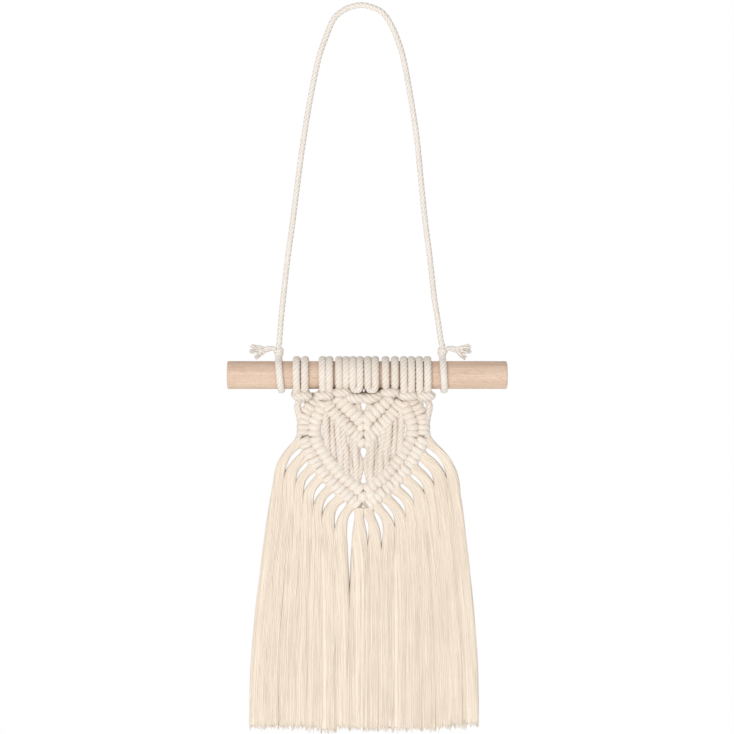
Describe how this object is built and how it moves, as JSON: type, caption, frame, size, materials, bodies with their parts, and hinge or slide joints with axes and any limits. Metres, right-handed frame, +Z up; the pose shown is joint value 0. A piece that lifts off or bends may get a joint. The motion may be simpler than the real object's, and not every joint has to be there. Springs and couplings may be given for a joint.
{
  "type": "macrame wall hanging",
  "caption": "Small knotted cotton wall hanging: a heart-shaped macrame panel with a brushed fringe on a round beech dowel, hung by one cord.",
  "frame": {"origin": "the hanging point: the underside of the hanging cord where it passes over the hook", "axes": "+Z up, along the hanging length; -Y towards the viewer, out of the wall; +X along the dowel, to the viewer's right"},
  "size_m": [0.15, 0.022, 0.3888],
  "materials": {
    "beech": "bare sanded beech with fine lengthwise grain and short flecks",
    "hanging_cord": "thin twisted natural cotton cord",
    "knotted_cord": "soft three-ply twisted natural cotton cord, tightly knotted",
    "brushed_fringe": "brushed-out loose natural cotton yarns"
  },
  "bodies": {
    "hanger": {"hanging_cord": "hanging_cord", "left_end_loop": "hanging_cord", "left_hanging_knot": "hanging_cord", "left_frayed_tail": "hanging_cord", "right_end_loop": "hanging_cord", "right_hanging_knot": "hanging_cord", "right_frayed_tail": "hanging_cord"},
    "panel": {"dowel": "beech", "lark_head_1": "knotted_cord", "lark_head_2": "knotted_cord", "lark_head_3": "knotted_cord", "lark_head_4": "knotted_cord", "lark_head_5": "knotted_cord", "lark_head_6": "knotted_cord", "lark_head_7": "knotted_cord", "lark_head_8": "knotted_cord", "left_v_band": "knotted_cord", "left_second_row": "knotted_cord", "left_heart_band": "knotted_cord", "left_edge_band": "knotted_cord", "left_side_strand": "knotted_cord", "left_fringe_row": "knotted_cord", "left_outer_cords": "knotted_cord", "left_middle_cords": "knotted_cord", "left_inner_cords": "knotted_cord", "right_v_band": "knotted_cord", "right_second_row": "knotted_cord", "right_heart_band": "knotted_cord", "right_edge_band": "knotted_cord", "right_side_strand": "knotted_cord", "right_fringe_row": "knotted_cord", "right_outer_cords": "knotted_cord", "right_middle_cords": "knotted_cord", "right_inner_cords": "knotted_cord", "tip_knot": "knotted_cord"},
    "lock_01": {"fringe_lock_01": "brushed_fringe"},
    "lock_02": {"fringe_lock_02": "brushed_fringe"},
    "lock_03": {"fringe_lock_03": "brushed_fringe"},
    "lock_04": {"fringe_lock_04": "brushed_fringe"},
    "lock_05": {"fringe_lock_05": "brushed_fringe"},
    "lock_06": {"fringe_lock_06": "brushed_fringe"},
    "lock_07": {"fringe_lock_07": "brushed_fringe"},
    "lock_08": {"fringe_lock_08": "brushed_fringe"},
    "lock_09": {"fringe_lock_09": "brushed_fringe"},
    "lock_10": {"fringe_lock_10": "brushed_fringe"},
    "lock_11": {"fringe_lock_11": "brushed_fringe"},
    "lock_12": {"fringe_lock_12": "brushed_fringe"},
    "lock_13": {"fringe_lock_13": "brushed_fringe"},
    "lock_14": {"fringe_lock_14": "brushed_fringe"},
    "lock_15": {"fringe_lock_15": "brushed_fringe"},
    "lock_16": {"fringe_lock_16": "brushed_fringe"}
  },
  "joints": [
    {"name": "panel_swing", "type": "hinge", "parent": "hanger", "child": "panel", "pos_m": [0, 0, -0.197], "axis": [1, 0, 0], "range_deg": [-160, 160]},
    {"name": "lock_01_swing", "type": "hinge", "parent": "panel", "child": "lock_01", "pos_m": [-0.03633, 0, -0.2358], "axis": [-1, 0, 0], "range_deg": [-60, 60]},
    {"name": "lock_02_swing", "type": "hinge", "parent": "panel", "child": "lock_02", "pos_m": [-0.03323, 0, -0.2418], "axis": [-1, 0, 0], "range_deg": [-60, 60]},
    {"name": "lock_03_swing", "type": "hinge", "parent": "panel", "child": "lock_03", "pos_m": [-0.02923, 0, -0.248], "axis": [-1, 0, 0], "range_deg": [-60, 60]},
    {"name": "lock_04_swing", "type": "hinge", "parent": "panel", "child": "lock_04", "pos_m": [-0.02473, 0, -0.2538], "axis": [-1, 0, 0], "range_deg": [-60, 60]},
    {"name": "lock_05_swing", "type": "hinge", "parent": "panel", "child": "lock_05", "pos_m": [-0.01973, 0, -0.2594], "axis": [-1, 0, 0], "range_deg": [-60, 60]},
    {"name": "lock_06_swing", "type": "hinge", "parent": "panel", "child": "lock_06", "pos_m": [-0.01413, 0, -0.2648], "axis": [-1, 0, 0], "range_deg": [-60, 60]},
    {"name": "lock_07_swing", "type": "hinge", "parent": "panel", "child": "lock_07", "pos_m": [-0.00823, 0, -0.2698], "axis": [-1, 0, 0], "range_deg": [-60, 60]},
    {"name": "lock_08_swing", "type": "hinge", "parent": "panel", "child": "lock_08", "pos_m": [-0.00203, 0, -0.2738], "axis": [-1, 0, 0], "range_deg": [-60, 60]},
    {"name": "lock_09_swing", "type": "hinge", "parent": "panel", "child": "lock_09", "pos_m": [0.00417, 0, -0.2738], "axis": [-1, 0, 0], "range_deg": [-60, 60]},
    {"name": "lock_10_swing", "type": "hinge", "parent": "panel", "child": "lock_10", "pos_m": [0.01037, 0, -0.2698], "axis": [-1, 0, 0], "range_deg": [-60, 60]},
    {"name": "lock_11_swing", "type": "hinge", "parent": "panel", "child": "lock_11", "pos_m": [0.01627, 0, -0.2648], "axis": [-1, 0, 0], "range_deg": [-60, 60]},
    {"name": "lock_12_swing", "type": "hinge", "parent": "panel", "child": "lock_12", "pos_m": [0.02187, 0, -0.2594], "axis": [-1, 0, 0], "range_deg": [-60, 60]},
    {"name": "lock_13_swing", "type": "hinge", "parent": "panel", "child": "lock_13", "pos_m": [0.02687, 0, -0.2538], "axis": [-1, 0, 0], "range_deg": [-60, 60]},
    {"name": "lock_14_swing", "type": "hinge", "parent": "panel", "child": "lock_14", "pos_m": [0.03137, 0, -0.248], "axis": [-1, 0, 0], "range_deg": [-60, 60]},
    {"name": "lock_15_swing", "type": "hinge", "parent": "panel", "child": "lock_15", "pos_m": [0.03537, 0, -0.2418], "axis": [-1, 0, 0], "range_deg": [-60, 60]},
    {"name": "lock_16_swing", "type": "hinge", "parent": "panel", "child": "lock_16", "pos_m": [0.03847, 0, -0.2358], "axis": [-1, 0, 0], "range_deg": [-60, 60]}
  ]
}
